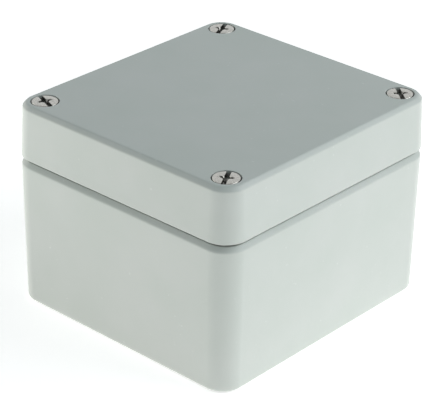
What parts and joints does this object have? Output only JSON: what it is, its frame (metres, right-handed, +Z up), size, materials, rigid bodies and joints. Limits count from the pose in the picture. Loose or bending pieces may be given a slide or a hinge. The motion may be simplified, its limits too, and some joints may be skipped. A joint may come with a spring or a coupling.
{
  "type": "die cast aluminium box",
  "caption": "Sealed rectangular die cast aluminium enclosure with a screwed lid, grey powder coat, gasket, captive corner screws and an earth terminal.",
  "frame": {"origin": "centre of the base casting's underside", "axes": "+X along the 75 mm width, +Y along the 80 mm depth to the rear, +Z up through the lid"},
  "size_m": [0.075, 0.08, 0.057],
  "materials": {
    "powder_coat": "satin",
    "gasket_rubber": "matte",
    "steel": "polished",
    "brass": "satin"
  },
  "bodies": {
    "base": {"base_casting": "powder_coat"},
    "lid": {"lid_casting": "powder_coat", "lid_gasket": "gasket_rubber"},
    "clip_front_left": {"screw_clip_front_left": "steel"},
    "screw_front_left": {"lid_screw_front_left": "steel"},
    "clip_front_right": {"screw_clip_front_right": "steel"},
    "screw_front_right": {"lid_screw_front_right": "steel"},
    "clip_rear_right": {"screw_clip_rear_right": "steel"},
    "screw_rear_right": {"lid_screw_rear_right": "steel"},
    "clip_rear_left": {"screw_clip_rear_left": "steel"},
    "screw_rear_left": {"lid_screw_rear_left": "steel"},
    "earth_stack": {"earth_clamp": "brass", "earth_spring_washer": "steel"},
    "earth_screw_body": {"earth_screw": "brass"}
  },
  "joints": [
    {"name": "lid_lift", "type": "slide", "parent": "base", "child": "lid", "axis": [0, 0, 1], "range_m": [0, 0.06]},
    {"name": "screw_rise_front_left", "type": "slide", "parent": "lid", "child": "clip_front_left", "axis": [0, 0, 1], "range_m": [0, 0.007]},
    {"name": "screw_turn_front_left", "type": "hinge", "parent": "clip_front_left", "child": "screw_front_left", "pos_m": [-0.0311, -0.0336, 0.05], "axis": [0, 0, 1], "range_deg": [0, 3600]},
    {"name": "screw_rise_front_right", "type": "slide", "parent": "lid", "child": "clip_front_right", "axis": [0, 0, 1], "range_m": [0, 0.007]},
    {"name": "screw_turn_front_right", "type": "hinge", "parent": "clip_front_right", "child": "screw_front_right", "pos_m": [0.0311, -0.0336, 0.05], "axis": [0, 0, 1], "range_deg": [0, 3600]},
    {"name": "screw_rise_rear_right", "type": "slide", "parent": "lid", "child": "clip_rear_right", "axis": [0, 0, 1], "range_m": [0, 0.007]},
    {"name": "screw_turn_rear_right", "type": "hinge", "parent": "clip_rear_right", "child": "screw_rear_right", "pos_m": [0.0311, 0.0336, 0.05], "axis": [0, 0, 1], "range_deg": [0, 3600]},
    {"name": "screw_rise_rear_left", "type": "slide", "parent": "lid", "child": "clip_rear_left", "axis": [0, 0, 1], "range_m": [0, 0.007]},
    {"name": "screw_turn_rear_left", "type": "hinge", "parent": "clip_rear_left", "child": "screw_rear_left", "pos_m": [-0.0311, 0.0336, 0.05], "axis": [0, 0, 1], "range_deg": [0, 3600]},
    {"name": "earth_rise", "type": "slide", "parent": "base", "child": "earth_stack", "axis": [0, 0, 1], "range_m": [0, 0.002]},
    {"name": "earth_turn", "type": "hinge", "parent": "earth_stack", "child": "earth_screw_body", "pos_m": [0, -0.0305, 0.009], "axis": [0, 0, 1], "range_deg": [0, 1029]}
  ],
  "couplings": [
    {"joint": "screw_turn_front_left", "follows": "screw_rise_front_left", "rad_per_m": 8976},
    {"joint": "screw_turn_front_right", "follows": "screw_rise_front_right", "rad_per_m": 8976},
    {"joint": "screw_turn_rear_right", "follows": "screw_rise_rear_right", "rad_per_m": 8976},
    {"joint": "screw_turn_rear_left", "follows": "screw_rise_rear_left", "rad_per_m": 8976},
    {"joint": "earth_turn", "follows": "earth_rise", "rad_per_m": 8976}
  ]
}
